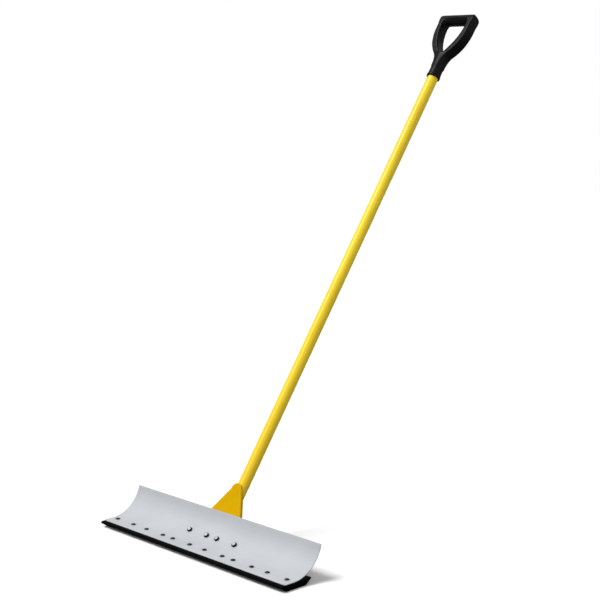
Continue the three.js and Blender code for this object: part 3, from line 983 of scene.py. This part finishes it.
def outline_distance(p, polygon):
    """Signed distance from 2-D points to a closed polygon, negative inside."""
    best = np.full(len(p), 1e9)
    inside = np.zeros(len(p), bool)
    for a, b in zip(polygon, np.roll(polygon, -1, axis=0)):
        ab = b - a
        t = np.clip(((p - a) @ ab) / max(ab @ ab, 1e-12), 0, 1)
        best = np.minimum(best, np.hypot(*(p - a - t[:, None] * ab).T))
        crosses = (a[1] > p[:, 1]) != (b[1] > p[:, 1])
        with np.errstate(divide="ignore", invalid="ignore"):
            x = a[0] + (p[:, 1] - a[1]) * ab[0] / (ab[1] if ab[1] else 1e-12)
        inside ^= crosses & (p[:, 0] < x)
    return np.where(inside, -best, best)


class OutlineField:
    """Distances to a closed outline, kept on a fine grid and read between its points."""

    def __init__(self, polygon, low=(-60.0, 1250.0), high=(60.0, 1460.0), pitch=0.6):
        self.low, self.pitch = np.array(low), pitch
        axes = [np.arange(a, b + 2 * pitch, pitch) for a, b in zip(low, high)]
        nodes = np.stack(np.meshgrid(*axes, indexing="ij"), -1)
        self.values = outline_distance(nodes.reshape(-1, 2), polygon).reshape(nodes.shape[:2])

    def __call__(self, p):
        at = (p - self.low) / self.pitch
        cell = np.clip(at.astype(int), 0, np.array(self.values.shape) - 2)
        (i, j), (s, t) = cell.T, (at - cell).T
        v = self.values
        near = v[i, j] * (1 - s) + v[i + 1, j] * s
        far = v[i, j + 1] * (1 - s) + v[i + 1, j + 1] * s
        return near * (1 - t) + far * t


def soft_max(a, b, k):
    """The larger of two distances, blended where they differ by less than k."""
    h = np.clip(0.5 - 0.5 * (b - a) / k, 0, 1)
    return b * (1 - h) + a * h + k * h * (1 - h)


def soft_min(a, b, k):
    return -soft_max(-a, -b, k)


def mirrored_outline(line):
    """A closed outline from its right half."""
    left = line[::-1] * np.array([-1, 1])
    return np.vstack([left, line])


# Right halves of the grip's outline and of its opening, as (across, along the handle).
OUTER = spline([(12.5, 1290), (14, 1304), (20, 1322), (32, 1340), (41.5, 1356), (47.6, 1373),
                (51.4, 1392), (52, 1414), (52, 1429), (50.2, 1439), (45.5, 1446.5), (37, 1451),
                (28, 1453)])
OPENING = spline([(0, 1331.5), (8, 1335), (20.5, 1353.5), (29.5, 1372), (35.3, 1392),
                  (37.8, 1412), (37.8, 1436)])
OUTER_FIELD = OutlineField(mirrored_outline(OUTER))
OPENING_FIELD = OutlineField(mirrored_outline(OPENING))


def grip_distance(p):
    """Signed distance to the grip in handle coordinates: across, rearward, along."""
    x, v, w = p.T
    flat = np.stack([x, w], 1)
    outer = OUTER_FIELD(flat)
    opening = OPENING_FIELD(flat)
    r = np.hypot(x, v)
    from_bar = np.hypot(v, np.maximum(w - CROSSBAR_AT, 0))

    # The fork: the outline's arms, 30 mm deep, rounded most where they leave the socket.
    arm_half = 15.0 - 1.2 * np.clip((1345 - w) / 40, 0, 1)
    fork = soft_max(outer, from_bar - arm_half, 4.6 + 11.0 * np.clip((1338 - w) / 42, 0, 1))
    fork = soft_max(fork, FORK_START - w, 4.0)
    fork = soft_max(fork, -opening, 4.2)

    # The crossbar: a little thicker towards its ends.
    thick = 13.6 + 0.4 * (np.clip(np.abs(x), 0, 44) / 44) ** 2
    bar = soft_max(np.hypot(v, w - CROSSBAR_AT) - thick, outer, 5.0)
    body = soft_min(fork, bar, 7.0)
    body = np.maximum(body, from_bar - 14.9)
    body = np.maximum(body, np.abs(x) - (GRIP_HALF - 0.1))

    # The socket: tapered, with a thicker rim at its mouth, and bored for the tube.
    neck = SOCKET_RADIUS + 0.5 - 1.5 * np.clip((w - SOCKET_MOUTH) / 45, 0, 1)
    reach = np.abs(w - SOCKET_MIDDLE) - (SOCKET_MIDDLE - SOCKET_MOUTH)
    body = soft_min(body, soft_max(r - neck, reach, 3.0), 9.0)
    rim_radius, rim_half = 17.3, 3.2
    rim = soft_max(r - rim_radius, np.abs(w - (SOCKET_MOUTH + rim_half)) - rim_half, 1.6)
    body = soft_min(body, rim, 1.2)
    bore = np.maximum(r - (TUBE_RADIUS + GAP), w - (TUBE_END + GAP))
    body = soft_max(body, -bore, 0.8)
    screw_hole = np.maximum(np.hypot(x, w - GRIP_SCREW_AT) - 2.1, -v)
    return np.maximum(body, -screw_hole)


def surface_net(distance, low, high, pitch):
    """A quad mesh of a distance field's zero surface, its points pulled onto the surface."""
    axes = [np.arange(a, b + pitch, pitch) for a, b in zip(low, high)]
    shape = [len(a) for a in axes]
    nodes = np.stack(np.meshgrid(*axes, indexing="ij"), -1).reshape(-1, 3)
    values = np.concatenate([distance(part) for part in np.array_split(nodes, 24)]).reshape(shape)
    inside = values < 0
    cell_shape = [n - 1 for n in shape]
    total = np.zeros((*cell_shape, 3))
    hits = np.zeros(cell_shape)
    offsets = [(0, 0), (0, 1), (1, 0), (1, 1)]
    for axis in range(3):
        others = [i for i in range(3) if i != axis]
        first = [slice(None)] * 3
        second = [slice(None)] * 3
        first[axis], second[axis] = slice(0, -1), slice(1, None)
        a, b = values[tuple(first)], values[tuple(second)]
        change = (a < 0) != (b < 0)
        t = np.where(change, a / np.where(change, a - b, 1), 0)
        for o in offsets:
            window = [slice(None)] * 3
            for i, step in zip(others, o):
                window[i] = slice(step, step + cell_shape[i])
            c, tt = change[tuple(window)], t[tuple(window)]
            hits += c
            total[..., axis] += np.where(c, tt, 0)
            for i, step in zip(others, o):
                total[..., i] += np.where(c, step, 0)
    active = hits > 0
    number = -np.ones(cell_shape, int)
    number[active] = np.arange(active.sum())
    cells = np.argwhere(active)
    points = np.array(low) + (cells + total[active] / hits[active][:, None]) * pitch
    for _ in range(3):
        d = distance(points)
        slope = np.stack([(distance(points + e) - distance(points - e)) / 0.1
                          for e in np.eye(3) * 0.05], 1)
        step = d[:, None] * slope / np.maximum((slope ** 2).sum(1), 0.2)[:, None]
        points = points - np.clip(step, -0.5 * pitch, 0.5 * pitch)
    faces = []
    for axis in range(3):
        b, c = [(1, 2), (2, 0), (0, 1)][axis]
        first = [slice(1, -1)] * 3
        second = [slice(1, -1)] * 3
        first[axis], second[axis] = slice(0, -1), slice(1, None)
        change = inside[tuple(first)] != inside[tuple(second)]
        flip = inside[tuple(second)][change]
        base = np.argwhere(change)
        for i in (b, c):
            base[:, i] += 1
        quad = []
        for db, dc in ((0, 0), (-1, 0), (-1, -1), (0, -1)):
            q = base.copy()
            q[:, b] += db
            q[:, c] += dc
            quad.append(number[tuple(q.T)])
        quad = np.stack(quad, 1)
        quad[flip] = quad[flip][:, ::-1]
        faces += quad.tolist()
    return points, faces


def d_grip():
    low, high, pitch = (-54.5, -19.5, 1259.5), (54.5, 19.5, 1450.5), 1.25
    points, faces = surface_net(grip_distance, low, high, pitch)
    return new_piece("grip_body", placed(points, HANDLE_FRAME), faces, GRIP,
                     ["d_grip"], sharp=55)


d_grip()


# ---------- floor, light and camera

def floor():
    """Plain white where the camera sees it, but sending little light back up."""
    n = Nodes("floor_plain")
    n.set(Base__Color=(0.89, 0.89, 0.89, 1), Roughness=1.0, Specular__IOR__Level=0.0)
    dim = n.add("ShaderNodeBsdfDiffuse", Color=(0.2, 0.2, 0.2, 1))
    path = n.add("ShaderNodeLightPath")
    mix = n.add("ShaderNodeMixShader")
    n.link(path.outputs["Is Camera Ray"], mix.inputs[0])
    n.link(dim.outputs[0], mix.inputs[1])
    n.link(n.shader.outputs[0], mix.inputs[2])
    n.link(mix.outputs[0], n.tree.nodes["Material Output"].inputs["Surface"])
    mesh = bpy.data.meshes.new("floor")
    half = 9
    corners = [(-half, -half, 0), (half, -half, 0), (half, half, 0), (-half, half, 0)]
    mesh.from_pydata(corners, [], [(0, 1, 2, 3)])
    mesh.materials.append(n.material)
    plane = bpy.data.objects.new("floor", mesh)
    bpy.context.scene.collection.objects.link(plane)


TARGET = Vector((0.038, 0.271, 0.539))
AZIMUTH, ELEVATION = math.radians(45.64), math.radians(8.82)
DISTANCE, LENS, SENSOR = 3.2, 85.2, 36
BACK = Vector((math.sin(AZIMUTH) * math.cos(ELEVATION), -math.cos(AZIMUTH) * math.cos(ELEVATION),
               math.sin(ELEVATION)))
RIGHT = Vector((math.cos(AZIMUTH), math.sin(AZIMUTH), 0))
UP = BACK.cross(RIGHT)
ABOVE = Vector((0, 0, 1))


def camera():
    data = bpy.data.cameras.new("camera")
    data.sensor_width = SENSOR
    data.lens = LENS
    data.clip_end = 60
    view = bpy.data.objects.new("camera", data)
    turn = Matrix((RIGHT, UP, BACK)).transposed().to_4x4()
    view.matrix_world = Matrix.Translation(TARGET + BACK * DISTANCE) @ turn
    bpy.context.scene.collection.objects.link(view)
    bpy.context.scene.camera = view


def area_light(name, place, aim, width, height, watts):
    data = bpy.data.lights.new(name, "AREA")
    data.shape = "RECTANGLE"
    data.size, data.size_y = width, height
    data.energy = watts
    lamp = bpy.data.objects.new(name, data)
    turn = (place - aim).normalized().to_track_quat("Z", "Y").to_matrix().to_4x4()
    lamp.matrix_world = Matrix.Translation(place) @ turn
    bpy.context.scene.collection.objects.link(lamp)


def sun(name, direction, strength, spread):
    data = bpy.data.lights.new(name, "SUN")
    data.energy = strength
    data.angle = math.radians(spread)
    lamp = bpy.data.objects.new(name, data)
    lamp.matrix_world = direction.to_track_quat("Z", "Y").to_matrix().to_4x4()
    bpy.context.scene.collection.objects.link(lamp)


# The world's soft light: where each lobe comes from, the cosines at which it starts and is full,
# and its strength. In order: from the camera's upper left, overhead, the right, and behind.
LOBES = (
    (-RIGHT * 0.2 + BACK * 0.8 + ABOVE * 0.6, -0.3, 0.95, 0.14),
    (-BACK * 0.3 + ABOVE, 0.2, 1.0, 0.20),
    (RIGHT * 0.75 + BACK * 0.65 + ABOVE * 0.1, 0.2, 1.0, 0.85),
    (-BACK + ABOVE * 0.15, 0.3, 1.0, 0.42),
)
EVEN_LIGHT = 0.03


def world():
    """White where the camera looks; its light comes in broad lobes over a faint even light."""
    studio = bpy.data.worlds.new("studio")
    bpy.context.scene.world = studio
    studio.use_nodes = True
    tree = studio.node_tree
    tree.nodes.clear()
    add, link = tree.nodes.new, tree.links.new
    place = add("ShaderNodeTexCoord")

    def lobe(direction, start, end, strength):
        side = add("ShaderNodeVectorMath")
        side.operation = "DOT_PRODUCT"
        side.inputs[1].default_value = direction.normalized()
        link(place.outputs["Generated"], side.inputs[0])
        fall = add("ShaderNodeMapRange")
        fall.interpolation_type = "SMOOTHSTEP"
        ends = {"From Min": start, "From Max": end, "To Min": 0, "To Max": strength}
        for key, value in ends.items():
            fall.inputs[key].default_value = value
        link(side.outputs["Value"], fall.inputs["Value"])
        return fall.outputs["Result"]

    def white():
        node = add("ShaderNodeBackground")
        node.inputs["Color"].default_value = (1, 1, 1, 1)
        return node

    total = lobe(*LOBES[0])
    for settings in LOBES[1:]:
        both = add("ShaderNodeMath")
        link(total, both.inputs[0])
        link(lobe(*settings), both.inputs[1])
        total = both.outputs[0]
    lifted = add("ShaderNodeMath")
    link(total, lifted.inputs[0])
    lifted.inputs[1].default_value = EVEN_LIGHT
    lit, seen = white(), white()
    link(lifted.outputs[0], lit.inputs["Strength"])
    path = add("ShaderNodeLightPath")
    mix = add("ShaderNodeMixShader")
    link(path.outputs["Is Camera Ray"], mix.inputs[0])
    link(lit.outputs[0], mix.inputs[1])
    link(seen.outputs[0], mix.inputs[2])
    out = add("ShaderNodeOutputWorld")
    link(mix.outputs[0], out.inputs["Surface"])


floor()
camera()
world()
sun("key", -RIGHT * 0.78 + BACK * 0.10 + ABOVE * 1.2, strength=3.05, spread=30)
area_light("fill", place=TARGET - RIGHT * 1.8 + BACK * 0.9 + ABOVE * 0.7,
           aim=TARGET + ABOVE * 0.3, width=0.45, height=1.4, watts=8)
bpy.context.scene.view_settings.view_transform = "Standard"
